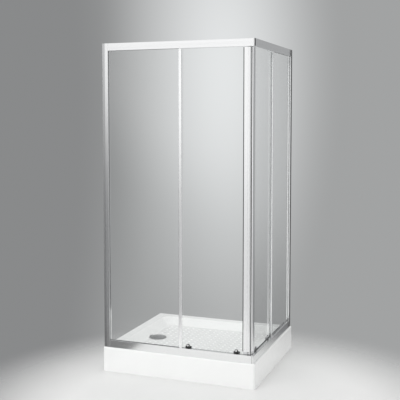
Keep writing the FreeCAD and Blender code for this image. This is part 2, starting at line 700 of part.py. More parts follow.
def make_fixed_glass(run):
    start = run.fixed_edge + EDGE_PROFILE_NOSE + EDGE_FIT
    end = run.jamb_s + JAMB_POCKET_DEPTH - GASKET
    low = TRAY_HEIGHT + RAIL_HEIGHT - POCKET_DEPTH + GASKET
    return block(start, FIXED_GLASS_U, low, end, FIXED_GLASS_IN, TOP + TRAY_HEIGHT - low)


def make_glazing_gaskets(run):
    """Strips on both faces of a fixed pane, along the lower rail, the upper rail and the jamb."""
    start = run.fixed_edge + EDGE_PROFILE_WIDTH
    lip = TRAY_HEIGHT + RAIL_HEIGHT + GASKET_LIP
    strips = []
    for outer in (POCKET_U, FIXED_GLASS_IN):
        low = block(start, outer, TRAY_HEIGHT + RAIL_HEIGHT - GASKET_HOLD, run.jamb_s, outer + GASKET, lip)
        side = block(run.jamb_s - GASKET_LIP, outer, lip,
                     run.jamb_s + JAMB_POCKET_DEPTH - GASKET, outer + GASKET, TOP + TRAY_HEIGHT - lip)
        strips += [low, flipped(low), side]
    return strips


def make_fixed_edge_profile(run):
    """A channel on the free edge of a fixed pane, between the two rails."""
    near, far = run.fixed_edge, run.fixed_edge + EDGE_PROFILE_WIDTH
    return upright(channel_on_glass(near, near + EDGE_PROFILE_NOSE, far, FIXED_GLASS_U),
                   TRAY_HEIGHT + RAIL_HEIGHT, TOP - RAIL_HEIGHT)


def channel_on_glass(nose, slot_floor, mouth, glass_u):
    """Plan of a U-shaped channel pushed onto a pane's edge. It opens from its nose towards its mouth."""
    slot_out, slot_in = glass_u - EDGE_FIT, glass_u + GLASS + EDGE_FIT
    outer, inner = slot_out - EDGE_PROFILE_WALL, slot_in + EDGE_PROFILE_WALL
    return section([(nose, outer, EDGE_PROFILE_RADIUS), (mouth, outer, 0), (mouth, slot_out, 0),
                    (slot_floor, slot_out, 0), (slot_floor, slot_in, 0), (mouth, slot_in, 0),
                    (mouth, inner, 0), (nose, inner, EDGE_PROFILE_RADIUS)])


# Doors

def make_door_glass(run):
    start = STILE_S + STILE_NOSE + EDGE_FIT
    end = run.trail_s + TRAIL_WIDTH - EDGE_PROFILE_NOSE - EDGE_FIT
    glass = block(start, DOOR_GLASS_U, GLASS_BOTTOM, end, DOOR_GLASS_IN, GLASS_TOP)
    for place in run.rollers:
        for height in (AXLE_BOTTOM + BOLT_RISE, AXLE_TOP - BOLT_RISE):
            hole = Vector(place, DOOR_GLASS_U - OVERRUN, height)
            glass = glass.cut(rod(BOLT_RADIUS + BOLT_HOLE_GAP, hole, INWARD, GLASS + 2 * OVERRUN))
    return single(glass)


STILE_SLOT_OUT = DOOR_GLASS_U - EDGE_FIT
STILE_SLOT_IN = DOOR_GLASS_IN + EDGE_FIT
STILE_SLOT_FLOOR = STILE_S + STILE_NOSE
GRIP_S = STILE_S + GRIP_EDGE
GRIP_END = GRIP_S + GRIP_WIDTH
MITRE_WALL = STILE_MITRE + STILE_WALL * math.sqrt(2)


def stile_outline():
    """Plan of a door's leading profile: a finger groove outside, a slot for the glass, and a mitred nose."""
    groove = STILE_U + GRIP_DEPTH
    return [
        (STILE_S, STILE_U, STILE_RADIUS), (GRIP_S, STILE_U, 0), (GRIP_S + GRIP_SLOPE, groove, 0),
        (GRIP_END - GRIP_SLOPE, groove, 0), (GRIP_END, STILE_U, 0),
        (STILE_END, STILE_U, STILE_RADIUS), (STILE_END, STILE_SLOT_OUT, 0),
        (STILE_SLOT_FLOOR, STILE_SLOT_OUT, 0), (STILE_SLOT_FLOOR, STILE_SLOT_IN, 0),
        (STILE_END, STILE_SLOT_IN, 0), (STILE_END, STILE_IN, STILE_RADIUS),
        (STILE_IN + STILE_MITRE, STILE_IN, 0), (STILE_S, STILE_S - STILE_MITRE, 0),
    ]


def stile_nose(gap):
    """Plan of the chamber in the stile's nose, smaller by gap on every side."""
    outer = STILE_U + GRIP_DEPTH + STILE_WALL + gap
    near, far = STILE_S + STILE_WALL + gap, STILE_SLOT_FLOOR - STILE_WALL - gap
    mitre = MITRE_WALL + gap * math.sqrt(2)
    return [(near, outer, 0), (far, outer, 0), (far, far - mitre, 0), (near, near - mitre, 0)]


def make_stile():
    inside = STILE_IN - STILE_WALL
    back = rectangle(inside + MITRE_WALL, STILE_SLOT_IN + STILE_WALL, STILE_END - STILE_WALL, inside)
    return upright(section(stile_outline(), stile_nose(0), back), STILE_BOTTOM, DOOR_TOP)


def make_stile_cap():
    """The cap under a stile, held by a peg in the stile's nose."""
    cap = upright(section(stile_outline()), DOOR_BOTTOM, STILE_BOTTOM)
    peg = upright(section(stile_nose(FIT)), STILE_BOTTOM, STILE_BOTTOM + STILE_CAP_PEG)
    return single(cap.fuse(peg))


def make_magnetic_seal():
    """A strip on the mitre of the stile, which meets the strip of the other door at the corner."""
    reach = (STILE_MITRE - SEAL_GAP / 2) / 2
    start, end = STILE_S - STILE_MITRE + SEAL_INSET, STILE_IN - SEAL_INSET
    plan = [(start + STILE_MITRE, start, 0), (end + STILE_MITRE, end, 0),
            (end + STILE_MITRE - reach, end + reach, 0), (start + STILE_MITRE - reach, start + reach, 0)]
    return upright(section(plan), DOOR_BOTTOM, DOOR_TOP)


def make_trailing_profile(run):
    nose = run.trail_s + TRAIL_WIDTH
    return upright(channel_on_glass(nose, nose - EDGE_PROFILE_NOSE, run.trail_s, DOOR_GLASS_U),
                   DOOR_BOTTOM, DOOR_TOP)


def make_wiper_seal(run):
    """A soft fin on the trailing profile that closes the gap to the fixed pane's profile."""
    seat = DOOR_GLASS_U - EDGE_FIT - EDGE_PROFILE_WALL
    tip = FIXED_GLASS_IN + EDGE_FIT + EDGE_PROFILE_WALL + SEAL_GAP
    near = run.trail_s + TRAIL_WIDTH - EDGE_PROFILE_NOSE - WIPER_WIDTH
    fin = near + WIPER_WIDTH / 2
    plan = [(near, seat, 0), (near, seat - WIPER_BASE, 0), (fin - WIPER_FIN / 2, seat - WIPER_BASE, 0),
            (fin - WIPER_FIN / 2, tip, 0), (fin + WIPER_FIN / 2, tip, 0),
            (fin + WIPER_FIN / 2, seat - WIPER_BASE, 0), (near + WIPER_WIDTH, seat - WIPER_BASE, 0),
            (near + WIPER_WIDTH, seat, 0)]
    return upright(section(plan), DOOR_BOTTOM, DOOR_TOP)


# Rollers

WHEEL_OUT = RIB_U - WHEEL_WIDTH / 2
WHEEL_IN = RIB_U + WHEEL_WIDTH / 2


def wheel_places(place):
    return [place - WHEEL_SPACING / 2, place + WHEEL_SPACING / 2]


def make_bracket(place):
    """A lower twin-roller plate on the door glass, with its two riveted axles."""
    reach = WHEEL_SPACING / 2 + BRACKET_FOOT
    top = BOLT_RISE + BRACKET_TOP
    plan = [(place - reach, -BRACKET_FOOT, BRACKET_RADIUS), (place + reach, -BRACKET_FOOT, BRACKET_RADIUS),
            (place + BRACKET_TOP, top, BRACKET_RADIUS), (place - BRACKET_TOP, top, BRACKET_RADIUS)]
    plate = through_glass(section(plan), DOOR_GLASS_IN, DOOR_GLASS_IN + BRACKET_THICKNESS)
    hole = Vector(place, DOOR_GLASS_IN - OVERRUN, BOLT_RISE)
    plate = plate.cut(rod(BOLT_RADIUS + SCREW_GAP, hole, INWARD, BRACKET_THICKNESS + 2 * OVERRUN))
    head = WHEEL_IN + ROLL_GAP
    for s in wheel_places(place):
        axle = rod(AXLE_RADIUS, Vector(s, DOOR_GLASS_IN, 0), INWARD, head + AXLE_HEAD - DOOR_GLASS_IN)
        plate = plate.fuse([axle, rod(AXLE_HEAD_RADIUS, Vector(s, head, 0), INWARD, AXLE_HEAD)])
    plate.translate(UP * AXLE_BOTTOM)
    return single(plate)


def make_roller_bolt(place):
    """A bolt through the glass: domed cap outside, shank, and its nut on the bracket."""
    axis = Vector(place, DOOR_GLASS_U, AXLE_BOTTOM + BOLT_RISE)
    cap = rod(CAP_RADIUS, axis, -INWARD, CAP_HEIGHT)
    rim = [edge for edge in cap.Edges if edge.CenterOfMass.y < DOOR_GLASS_U - CAP_HEIGHT + FIT]
    cap = cap.makeFillet(CAP_EDGE_RADIUS, rim)
    shank = rod(BOLT_RADIUS, axis, INWARD, GLASS + BRACKET_THICKNESS)
    nut = rod(NUT_RADIUS, axis + INWARD * (GLASS + BRACKET_THICKNESS), INWARD, NUT_HEIGHT)
    return single(cap.fuse([shank, nut]))


def make_wheel(place):
    """A lower wheel with a groove that runs on the rail's rib."""
    half = WHEEL_WIDTH / 2
    bore = AXLE_RADIUS + BEARING_GAP
    floor = RIB_THICKNESS / 2 + ROLL_GAP
    mouth = floor + GROOVE_FLARE
    profile = [(bore, -half), (WHEEL_RADIUS, -half), (WHEEL_RADIUS, -mouth), (ROLL_RADIUS, -floor),
               (ROLL_RADIUS, floor), (WHEEL_RADIUS, mouth), (WHEEL_RADIUS, half), (bore, half)]
    wheel = turned(profile, Vector(0, 0, 0))
    wheel.rotate(Vector(0, 0, 0), ALONG, 90)
    wheel.translate(Vector(place, RIB_U, AXLE_BOTTOM))
    return wheel


def make_door_stop(run):
    """A clip on the rib inside the upper rail, which the rear wheel meets when the door is open."""
    start = run.rollers[1] + WHEEL_SPACING / 2 + WHEEL_RADIUS + run.travel + STOP_PLAY
    end = start + STOP_LENGTH
    ceiling = TOP - RAIL_WALL
    clip = block(start, RIB_U - STOP_WIDTH / 2, ceiling - STOP_HEIGHT, end, RIB_U + STOP_WIDTH / 2, ceiling)
    slot = RIB_THICKNESS / 2 + EDGE_FIT
    rib_end = TOP - UPPER_RIB_HEIGHT - EDGE_FIT
    return single(clip.cut(block(start, RIB_U - slot, rib_end, end, RIB_U + slot, ceiling)))


# Every piece, one file each

os.makedirs("parts", exist_ok=True)

save("shower_tray", make_tray())
save("tray_base_board", make_board())
save("tray_foot_pads", *[make_foot_pad(place) for place in foot_places()])
save("tray_foot_studs", *[make_foot_stud(place) for place in foot_places()])
save("tray_foot_nuts", *[make_foot_nut(place) for place in foot_places()])
save("drain_cover", make_drain_cover())
save("drain_flange", make_drain_flange())
save("drain_seal", make_drain_seal())
save("drain_trap", make_drain_trap())

connector = make_corner_connector()
save("bottom_corner_connector", connector)
save("top_corner_connector", flipped(connector))

glazing_gaskets = []
rail_covers = []
frame_screws = []
rail_screws = []
door_stops = []
for run in RUNS:
    run.save("bottom_rail_" + run.name, make_rail(run, LOWER_RIB_HEIGHT))
    run.save("top_rail_" + run.name, flipped(make_rail(run, UPPER_RIB_HEIGHT)))
    run.save("wall_channel_" + run.wall, make_wall_channel(run))
    run.save("jamb_profile_" + run.wall, make_jamb(run))
    run.save("fixed_glass_" + run.name, make_fixed_glass(run))
    glazing_gaskets += [run.place(strip) for strip in make_glazing_gaskets(run)]
    run.save("fixed_edge_profile_" + run.name, make_fixed_edge_profile(run))
    for height in jamb_screw_heights():
        frame_screws.append(run.place(screw(jamb_screw_seat(run, height), -INWARD, FRAME_SCREW_LENGTH)))
    for low, group in ((make_corner_screw(), frame_screws), (make_rail_screw(run), rail_screws),
                       (make_rail_cover(run), rail_covers)):
        group += [run.place(low), run.place(flipped(low))]
    door_stops.append(run.place(make_door_stop(run)))

    door = run.name + "_door_"
    run.save(door + "glass", make_door_glass(run))
    run.save(door + "stile", make_stile())
    run.save(door + "stile_cap", make_stile_cap())
    run.save(door + "magnetic_seal", make_magnetic_seal())
    run.save(door + "trailing_profile", make_trailing_profile(run))
    run.save(door + "wiper_seal", make_wiper_seal(run))
    brackets = [make_bracket(place) for place in run.rollers]
    bolts = [make_roller_bolt(place) for place in run.rollers]
    run.save(door + "roller_brackets", *brackets, *[hung(bracket) for bracket in brackets])
    run.save(door + "roller_bolts", *bolts, *[hung(bolt) for bolt in bolts])
    wheels = [make_wheel(s) for place in run.rollers for s in wheel_places(place)]
    for i, wheel in enumerate(wheels, 1):
        run.save(f"{run.name}_wheel_bottom_{i}", wheel)
        run.save(f"{run.name}_wheel_top_{i}", hung(wheel))

save("glazing_gaskets", *glazing_gaskets)
save("rail_covers", *rail_covers)
save("frame_screws", *frame_screws)
save("rail_screws", *rail_screws)
save("door_stops", *door_stops)
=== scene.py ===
import math

import bmesh
import bpy
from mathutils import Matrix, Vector


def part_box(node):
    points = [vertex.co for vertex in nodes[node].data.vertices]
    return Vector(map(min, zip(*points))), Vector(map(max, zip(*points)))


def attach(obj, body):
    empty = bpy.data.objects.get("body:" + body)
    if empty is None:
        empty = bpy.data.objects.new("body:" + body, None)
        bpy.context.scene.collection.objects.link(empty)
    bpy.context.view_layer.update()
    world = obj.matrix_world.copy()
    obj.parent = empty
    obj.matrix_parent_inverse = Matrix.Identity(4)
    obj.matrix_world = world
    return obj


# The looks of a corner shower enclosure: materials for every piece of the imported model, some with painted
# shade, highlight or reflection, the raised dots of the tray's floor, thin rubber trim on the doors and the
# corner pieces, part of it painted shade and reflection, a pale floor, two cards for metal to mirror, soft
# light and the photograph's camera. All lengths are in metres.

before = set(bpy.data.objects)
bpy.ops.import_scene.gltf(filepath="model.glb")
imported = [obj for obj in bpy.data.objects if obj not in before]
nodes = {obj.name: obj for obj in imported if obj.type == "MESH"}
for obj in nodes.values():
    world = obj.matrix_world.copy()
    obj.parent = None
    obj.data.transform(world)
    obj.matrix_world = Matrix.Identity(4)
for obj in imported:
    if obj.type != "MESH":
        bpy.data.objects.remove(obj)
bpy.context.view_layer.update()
scene = bpy.context.scene

# Tray sizes that repeat the part's own
TRAY_LENGTH = 1.0
TRAY_WIDTH = 0.9
TRAY_HEIGHT = 0.155
FLOOR_INSET = 0.136
BASIN_DEPTH = 0.036
FLOOR_FALL = 0.006


# Node helpers

# The usual span of a noise texture's values
NOISE_LOW, NOISE_HIGH = 0.3, 0.7


class Tree:
    """A node tree, with short ways to add to it."""

    def __init__(self, tree):
        self.tree = tree

    def node(self, kind, **settings):
        made = self.tree.nodes.new(kind)
        for name, value in settings.items():
            setattr(made, name, value)
        return made

    def link(self, source, target):
        self.tree.links.new(source, target)

    def vector(self, operation, first, second):
        """Vector maths on a socket and three numbers."""
        made = self.node("ShaderNodeVectorMath", operation=operation)
        self.link(first, made.inputs[0])
        made.inputs[1].default_value = second
        return made.outputs[0]

    def length(self, vector):
        made = self.node("ShaderNodeVectorMath", operation="LENGTH")
        self.link(vector, made.inputs[0])
        return made.outputs["Value"]

    def remap(self, value, low, high, start=NOISE_LOW, end=NOISE_HIGH, ease="LINEAR"):
        """A value from start to end, carried over to the range from low to high."""
        ranged = self.node("ShaderNodeMapRange", interpolation_type=ease)
        self.link(value, ranged.inputs["Value"])
        for name, number in zip(("From Min", "From Max", "To Min", "To Max"), (start, end, low, high)):
            ranged.inputs[name].default_value = number
        return ranged.outputs["Result"]

    def blend(self, factor, first, second):
        """A colour between two colours. Each is three numbers or a socket."""
        mix = self.node("ShaderNodeMix", data_type="RGBA")
        self.link(factor, mix.inputs["Factor"])
        for socket, colour in ((mix.inputs[6], first), (mix.inputs[7], second)):
            if isinstance(colour, tuple):
                socket.default_value = (*colour, 1)
            else:
                self.link(colour, socket)
        return mix.outputs[2]

    def mix_shaders(self, factor, first, second):
        mix = self.node("ShaderNodeMixShader")
        for source, target in zip((factor, first, second), mix.inputs):
            self.link(source, target)
        return mix.outputs[0]


class Surface(Tree):
    """A material under construction: a Principled shader, the tree it stands in and object coordinates."""

    def __init__(self, name, colour, roughness, metallic=0.0):
        self.material = bpy.data.materials.new(name)
        self.material.use_nodes = True
        super().__init__(self.material.node_tree)
        self.shader = self.tree.nodes["Principled BSDF"]
        self.output = self.tree.nodes["Material Output"]
        self.set("Base Color", (*colour, 1))
        self.set("Roughness", roughness)
        self.set("Metallic", metallic)
        self.coords = self.node("ShaderNodeTexCoord").outputs["Object"]

    def set(self, socket, value):
        self.shader.inputs[socket].default_value = value

    def stretched(self, scale, shift=(0, 0, 0)):
        """Object coordinates moved by shift, then scaled on each axis."""
        return self.vector("MULTIPLY", self.vector("ADD", self.coords, shift), scale)

    def noise(self, vector, scale, detail):
        texture = self.node("ShaderNodeTexNoise")
        self.link(vector, texture.inputs["Vector"])
        texture.inputs["Scale"].default_value = scale
        texture.inputs["Detail"].default_value = detail
        return texture.outputs["Fac"]

    def upright_part(self, vector):
        split = self.node("ShaderNodeSeparateXYZ")
        self.link(vector, split.inputs[0])
        return split.outputs["Z"]

    def mottled(self, noise, tone, low):
        """A tone that a noise darkens in places, down to low times the tone."""
        return self.blend(self.remap(noise, 0, 1), shade(tone, low), tone)

    def colour(self, socket):
        self.link(socket, self.shader.inputs["Base Color"])

    def rough(self, value, low, high):
        self.link(self.remap(value, low, high), self.shader.inputs["Roughness"])

    def bump(self, height, distance, strength=1.0):
        """Adds a relief to those that the surface already has."""
        relief = self.node("ShaderNodeBump")
        relief.inputs["Strength"].default_value = strength
        relief.inputs["Distance"].default_value = distance
        self.link(height, relief.inputs["Height"])
        normal = self.shader.inputs["Normal"]
        if normal.is_linked:
            self.link(normal.links[0].from_socket, relief.inputs["Normal"])
        self.link(relief.outputs[0], normal)


def shade(colour, factor):
    return tuple(min(1.0, channel * factor) for channel in colour)


# Materials

WHITE = (0.87, 0.875, 0.87)
BRIGHT_METAL = (0.95, 0.955, 0.96)
ZINC = (0.62, 0.63, 0.645)

# The basin's floor, up to a little above its highest line, is greyer than the rest of the tray: a painted
# shade in the basin that sets off the dots
FIELD_PAINTED_SHADE = 0.92
FIELD_RISE = 0.001
FIELD_TOP = TRAY_HEIGHT - BASIN_DEPTH + FIELD_RISE
FIELD_EDGE = 0.002

# The resin under the tray
RESIN_DARK = (0.6, 0.58, 0.5)
RESIN_PALE = (0.72, 0.7, 0.63)
RESIN_MATT = 0.5

# The board under the basin
CHIP_DARK = (0.42, 0.3, 0.18)
CHIP_PALE = (0.68, 0.54, 0.37)
CHIP_DUST = (0.5, 0.38, 0.25)

# Spans of a normal's upright part in which a face turns into an upward or a downward one, and of its distance
# from the direction of the near corner in which it leaves the corner's arris
UPWARD = (0.9, 0.99)
DOWNWARD = (-0.2, -0.35)
CORNER_FACING = (math.sqrt(0.5), -math.sqrt(0.5), 0)
ARRIS_SPAN = (0.3, 0.55)

# Counts per metre of the lines on drawn metal, across them and along them, and their number in a band
LINES_ACROSS = 900
LINES_ALONG = 1.5
LINES_PER_BAND = 14


def white_acrylic():
    """Glossy moulded acrylic, a little uneven, with a painted shade that greys the grip field of the basin's
    floor, and a rough resin-coated underside."""
    s = Surface("white_acrylic", WHITE, roughness=0.2)
    cloud = s.noise(s.coords, scale=5, detail=3)
    top = s.mottled(cloud, WHITE, 0.975)
    fibres = s.noise(s.stretched((260, 40, 260)), scale=1, detail=3)
    under = s.blend(s.remap(fibres, 0, 1), RESIN_DARK, RESIN_PALE)
    facing = s.upright_part(s.node("ShaderNodeNewGeometry").outputs["Normal"])
    field = s.node("ShaderNodeMath", operation="MULTIPLY")
    s.link(s.remap(facing, 0, 1, *UPWARD), field.inputs[0])
    s.link(s.remap(s.upright_part(s.coords), 1, 0, FIELD_TOP, FIELD_TOP + FIELD_EDGE), field.inputs[1])
    # Painted shade on the grip field
    top = s.blend(field.outputs[0], top, shade(WHITE, FIELD_PAINTED_SHADE))
    downward = s.remap(facing, 0, 1, *DOWNWARD)
    s.colour(s.blend(downward, top, under))
    wear = s.remap(s.noise(s.coords, scale=45, detail=4), low=0.16, high=0.26)
    matt = s.node("ShaderNodeMath", operation="MULTIPLY_ADD")
    s.link(downward, matt.inputs[0])
    matt.inputs[1].default_value = RESIN_MATT
    s.link(wear, matt.inputs[2])
    s.link(matt.outputs[0], s.shader.inputs["Roughness"])
    s.bump(s.noise(s.coords, scale=120, detail=2), distance=0.0004, strength=0.12)
    s.set("Coat Weight", 0.35)
    s.set("Coat Roughness", 0.08)
    return s.material


def drawn_aluminium(name, axis, low, high, metal=BRIGHT_METAL, metallic=1.0):
    """Anodised aluminium with faint drawing lines along one axis. Its roughness lies between low and high."""
    s = Surface(name, metal, low, metallic)
    scale = tuple(LINES_ALONG if letter == axis else LINES_ACROSS for letter in "xyz")
    lines = s.noise(s.stretched(scale), scale=1, detail=3)
    bands = s.noise(s.stretched(tuple(value / LINES_PER_BAND for value in scale)), scale=1, detail=2)
    s.colour(s.mottled(bands, metal, 0.95))
    s.rough(lines, low, high)
    s.bump(lines, distance=0.00005, strength=0.25)
    return s.material


def satin_chrome(centre):
    """Turned satin metal, with rings about the vertical through centre."""
    metal = (0.5, 0.505, 0.51)
    s = Surface("satin_chrome", metal, roughness=0.3, metallic=1.0)
    distance = s.length(s.stretched((1, 1, 0), (-centre.x, -centre.y, 0)))
    ring = s.node("ShaderNodeTexNoise", noise_dimensions="1D")
    s.link(distance, ring.inputs["W"])
    ring.inputs["Scale"].default_value = 1400
    ring.inputs["Detail"].default_value = 2
    s.colour(s.mottled(s.noise(s.coords, scale=30, detail=3), metal, 0.88))
    s.rough(ring.outputs["Fac"], low=0.24, high=0.38)
    s.bump(ring.outputs["Fac"], distance=0.00008, strength=0.4)
    return s.material


def plated_metal(name, metal, low, high):
    """Smooth plated metal with fine handling marks, and a roughness between low and high."""
    s = Surface(name, metal, low, metallic=1.0)
    marks = s.noise(s.coords, scale=320, detail=4)
    s.colour(s.mottled(s.noise(s.coords, scale=60, detail=2), metal, 0.85))
    s.rough(marks, low, high)
    s.bump(marks, distance=0.00005, strength=0.2)
    return s


def threaded_zinc():
    """Zinc-plated studs, with a thread along their upright axis."""
    s = plated_metal("threaded_zinc", ZINC, low=0.28, high=0.45)
    thread = s.node("ShaderNodeTexWave", bands_direction="Z", wave_profile="TRI")
    s.link(s.coords, thread.inputs["Vector"])
    thread.inputs["Scale"].default_value = 210
    s.bump(thread.outputs["Fac"], distance=0.0009)
    return s.material


def moulded_plastic(name, tone, low, high):
    """Moulded plastic with a fine grain, and a roughness between low and high."""
    s = Surface(name, tone, low)
    fine = s.noise(s.coords, scale=700, detail=2)
    s.colour(s.mottled(s.noise(s.coords, scale=40, detail=3), tone, 0.88))
    s.rough(fine, low, high)
    s.bump(fine, distance=0.00012, strength=0.35)
    return s.material


def metallised_plastic(name, arris):
    """Plastic with a silver finish, for the corner pieces. The arris at the near corner has a painted
    reflection of its own tone.
    """
    tone = (0.87, 0.875, 0.88)
    s = Surface(name, tone, roughness=0.24, metallic=0.85)
    fine = s.noise(s.coords, scale=500, detail=2)
    body = s.mottled(s.noise(s.coords, scale=35, detail=3), tone, 0.92)
    lean = s.vector("SUBTRACT", s.node("ShaderNodeNewGeometry").outputs["Normal"], CORNER_FACING)
    s.colour(s.blend(s.remap(s.length(lean), 1, 0, *ARRIS_SPAN), body, arris))
    s.rough(fine, low=0.2, high=0.3)
    s.bump(fine, distance=0.00006, strength=0.3)
    return s.material


def soft_rubber(name, tone):
    """Matt rubber, a little uneven."""
    s = Surface(name, tone, roughness=0.6)
    fine = s.noise(s.coords, scale=900, detail=3)
    s.colour(s.mottled(s.noise(s.coords, scale=50, detail=3), tone, 0.8))
    s.rough(fine, low=0.5, high=0.72)
    s.bump(fine, distance=0.0001, strength=0.4)
    return s.material


def clear_seal():
    """Translucent soft plastic strips, extruded along the upright."""
    tone = (0.93, 0.95, 0.95)
    s = Surface("clear_seal", tone, roughness=0.3)
    lines = s.noise(s.stretched((700, 700, 6)), scale=1, detail=2)
    s.colour(s.mottled(lines, tone, 0.92))
    s.rough(lines, low=0.24, high=0.38)
    s.bump(lines, distance=0.00008, strength=0.3)
    s.set("Transmission Weight", 0.2)
    s.set("IOR", 1.45)
    return s.material


def chipboard():
    """Bonded wood board: chips from dark to pale, with fine dust over them."""
    s = Surface("chipboard", (0.55, 0.42, 0.28), roughness=0.7)
    chips = s.node("ShaderNodeTexVoronoi")
    s.link(s.stretched((1, 2.2, 3)), chips.inputs["Vector"])
    chips.inputs["Scale"].default_value = 120
    hue = s.node("ShaderNodeSeparateColor")
    s.link(chips.outputs["Color"], hue.inputs[0])
    coarse = s.blend(hue.outputs[0], CHIP_DARK, CHIP_PALE)
    dust = s.remap(s.noise(s.coords, scale=600, detail=3), 0, 1, start=0.45, end=0.75)
    s.colour(s.blend(dust, coarse, CHIP_DUST))
    s.rough(hue.outputs[1], low=0.62, high=0.8)
    s.bump(chips.outputs["Distance"], distance=0.0006, strength=0.5)
    return s.material


def clear_glass():
    """Clear tempered glass: faintly green through its thickness, and open to the light of the lamps."""
    s = Surface("clear_glass", (1, 1, 1), roughness=0.0)
    s.set("Transmission Weight", 1.0)
    s.set("IOR", 1.5)
    waves = s.noise(s.coords, scale=2.2, detail=1)
    s.bump(waves, distance=0.0002, strength=0.05)
    s.rough(s.noise(s.coords, scale=25, detail=4), low=0.0, high=0.012)
    absorb = s.node("ShaderNodeVolumeAbsorption")
    absorb.inputs["Color"].default_value = (0.74, 0.93, 0.87, 1)
    absorb.inputs["Density"].default_value = 5.0
    s.link(absorb.outputs[0], s.output.inputs["Volume"])
    window = s.node("ShaderNodeBsdfTransparent")
    window.inputs["Color"].default_value = (0.97, 0.976, 0.974, 1)
    path = s.node("ShaderNodeLightPath")
    surface = s.shader.outputs[0]
    for ray in ("Is Shadow Ray", "Is Diffuse Ray"):
        surface = s.mix_shaders(path.outputs[ray], surface, window.outputs[0])
    s.link(surface, s.output.inputs["Surface"])
    return s.material


def dress(material, *names):
    for name in names:
        slots = nodes[name].data.materials
        for i in range(len(slots)):
            slots[i] = material


drain_low, drain_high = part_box("drain_cover")
drain_centre = (drain_low + drain_high) / 2
acrylic = white_acrylic()
aluminium = {axis: drawn_aluminium("bright_aluminium_" + axis, axis, low=0.11, high=0.2) for axis in "xyz"}
edge_aluminium = drawn_aluminium("edge_aluminium", "z", low=0.11, high=0.2, metallic=0.72)
# The dots' acrylic is brighter than the tray's own white: a painted highlight on the dots
highlit_dot_acrylic = moulded_plastic("highlit_dot_acrylic", shade(WHITE, 1.12), low=0.16, high=0.26)
zinc = plated_metal("zinc_steel", ZINC, low=0.25, high=0.42).material
chrome = plated_metal("chrome", (0.84, 0.845, 0.85), low=0.05, high=0.12).material
bright_plate = plated_metal("bright_plate", (0.88, 0.885, 0.89), low=0.1, high=0.2).material
rubber = soft_rubber("black_rubber", (0.018, 0.018, 0.019))
gasket = soft_rubber("grey_gasket", (0.2, 0.201, 0.203))
glass = clear_glass()
strip = clear_seal()
trap_plastic = moulded_plastic("trap_plastic", (0.66, 0.67, 0.67), low=0.35, high=0.5)
light_plastic = moulded_plastic("light_plastic", (0.7, 0.705, 0.715), low=0.3, high=0.42)
nylon = moulded_plastic("black_nylon", (0.035, 0.035, 0.038), low=0.32, high=0.45)

dress(acrylic, "shower_tray")
dress(chipboard(), "tray_base_board")
dress(moulded_plastic("foot_plastic", (0.04, 0.04, 0.042), low=0.4, high=0.55), "tray_foot_pads")
dress(threaded_zinc(), "tray_foot_studs")
dress(zinc, "tray_foot_nuts", "frame_screws", "rail_screws")
dress(satin_chrome(drain_centre), "drain_cover")
dress(trap_plastic, "drain_flange", "drain_trap")
dress(rubber, "drain_seal", "door_stops")
# Each corner piece's arris gets a painted reflection: close to the body's silver below, dark above
dress(metallised_plastic("silver_plastic", (0.85, 0.855, 0.86)), "bottom_corner_connector")
dress(metallised_plastic("dark_reflection_plastic", (0.1, 0.1, 0.102)), "top_corner_connector")
dress(gasket, "glazing_gaskets")
dress(aluminium["x"], "rail_covers")
dress(aluminium["z"], "jamb_profile_left", "jamb_profile_rear")
# The wall channels' aluminium is darker than the jambs': a painted shade, as if the wall beside them shaded
# them
dress(drawn_aluminium("shaded_channel_aluminium", "z", low=0.16, high=0.28, metal=(0.62, 0.625, 0.63)),
      "wall_channel_left", "wall_channel_rear")
WHEELS_PER_RAIL = 4
for side, axis in (("front", "x"), ("side", "y")):
    door = side + "_door_"
    dress(aluminium[axis], "bottom_rail_" + side, "top_rail_" + side)
    dress(aluminium["z"], door + "stile", door + "trailing_profile")
    dress(edge_aluminium, "fixed_edge_profile_" + side)
    dress(glass, "fixed_glass_" + side, door + "glass")
    dress(light_plastic, door + "stile_cap")
    dress(strip, door + "magnetic_seal", door + "wiper_seal")
    dress(bright_plate, door + "roller_brackets")
    dress(chrome, door + "roller_bolts")
    for level in ("bottom", "top"):
        dress(nylon, *[f"{side}_wheel_{level}_{i}" for i in range(1, WHEELS_PER_RAIL + 1)])


def add_object(name, mesh, material):
    """Turns a mesh under construction into an object of the scene."""
    data = bpy.data.meshes.new(name)
    mesh.to_mesh(data)
    mesh.free()
    data.materials.append(material)
    made = bpy.data.objects.new(name, data)
    scene.collection.objects.link(made)
    return made


# Raised dots on the tray's floor

DOT_PITCH = 0.042
DOT_RADIUS = 0.0085
DOT_HEIGHT = 0.0025
DOT_SIDES = 16
DOT_RINGS = 4
DOT_MARGIN = 0.022
DOT_SINK = 0.0004


def floor_height(x):
    """Height of the basin floor, which falls from the near corner's end to the drain's."""
    half = TRAY_LENGTH / 2 - FLOOR_INSET
    return TRAY_HEIGHT - BASIN_DEPTH - FLOOR_FALL * (half - x) / (2 * half)


def add_dot(mesh, x, y):
    """A low dome on the floor at x, y."""
    base = floor_height(x) - DOT_SINK
    rings = []
    for ring in range(DOT_RINGS):
        lean = math.pi / 2 * ring / DOT_RINGS
        reach, rise = DOT_RADIUS * math.cos(lean), DOT_HEIGHT * math.sin(lean)
        turns = [2 * math.pi * i / DOT_SIDES for i in range(DOT_SIDES)]
        rings.append([mesh.verts.new((x + reach * math.cos(a), y + reach * math.sin(a), base + rise))
                      for a in turns])
    crown = mesh.verts.new((x, y, base + DOT_HEIGHT))
    for i in range(DOT_SIDES):
        j = (i + 1) % DOT_SIDES
        for low, high in zip(rings, rings[1:]):
            mesh.faces.new((low[i], low[j], high[j], high[i]))
        mesh.faces.new((rings[-1][i], rings[-1][j], crown))
    mesh.faces.new(list(reversed(rings[0])))


